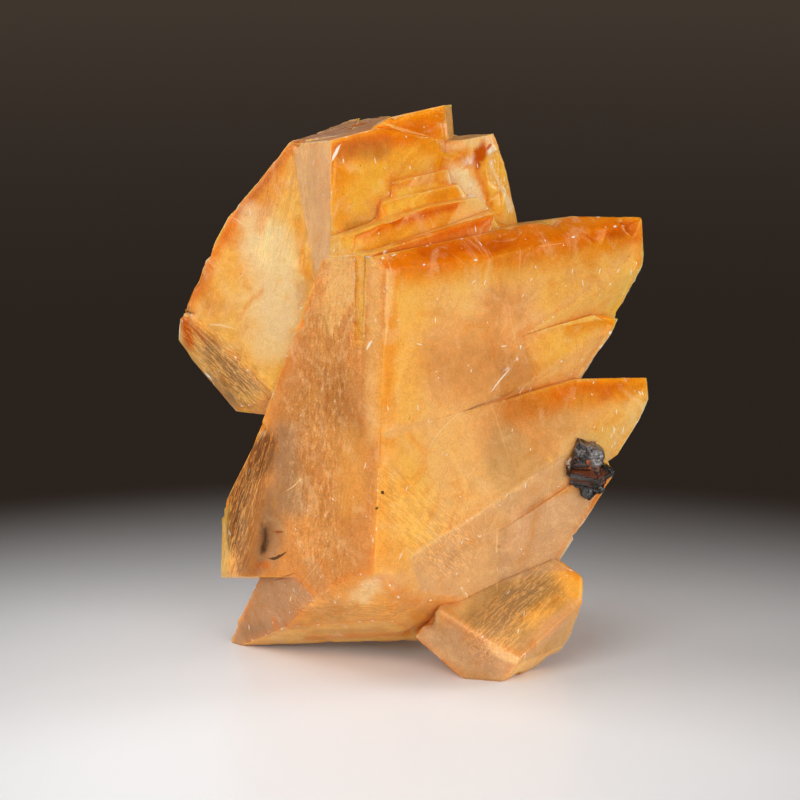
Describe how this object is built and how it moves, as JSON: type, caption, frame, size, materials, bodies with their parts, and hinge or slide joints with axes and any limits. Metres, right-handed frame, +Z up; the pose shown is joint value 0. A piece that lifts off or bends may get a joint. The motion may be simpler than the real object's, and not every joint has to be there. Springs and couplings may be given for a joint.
{
  "type": "golden calcite specimen",
  "caption": "Cluster of golden calcite crystals grown in parallel, with stepped fins, a tilted crown and a pale crystal in front, and a black sphalerite crystal on its side.",
  "frame": {"origin": "middle of the bounding box's base, on the surface that the cluster stands on", "axes": "+Z up, +X to the viewer's right and +Y away from the viewer of the show side"},
  "size_m": [0.0848, 0.0562, 0.0988],
  "materials": {
    "calcite": "translucent golden crystal, satin faces with fine growth lines",
    "sphalerite": "black, submetallic, glossy"
  },
  "bodies": {
    "root": {"calcite": "calcite", "sphalerite": "sphalerite"}
  },
  "joints": []
}
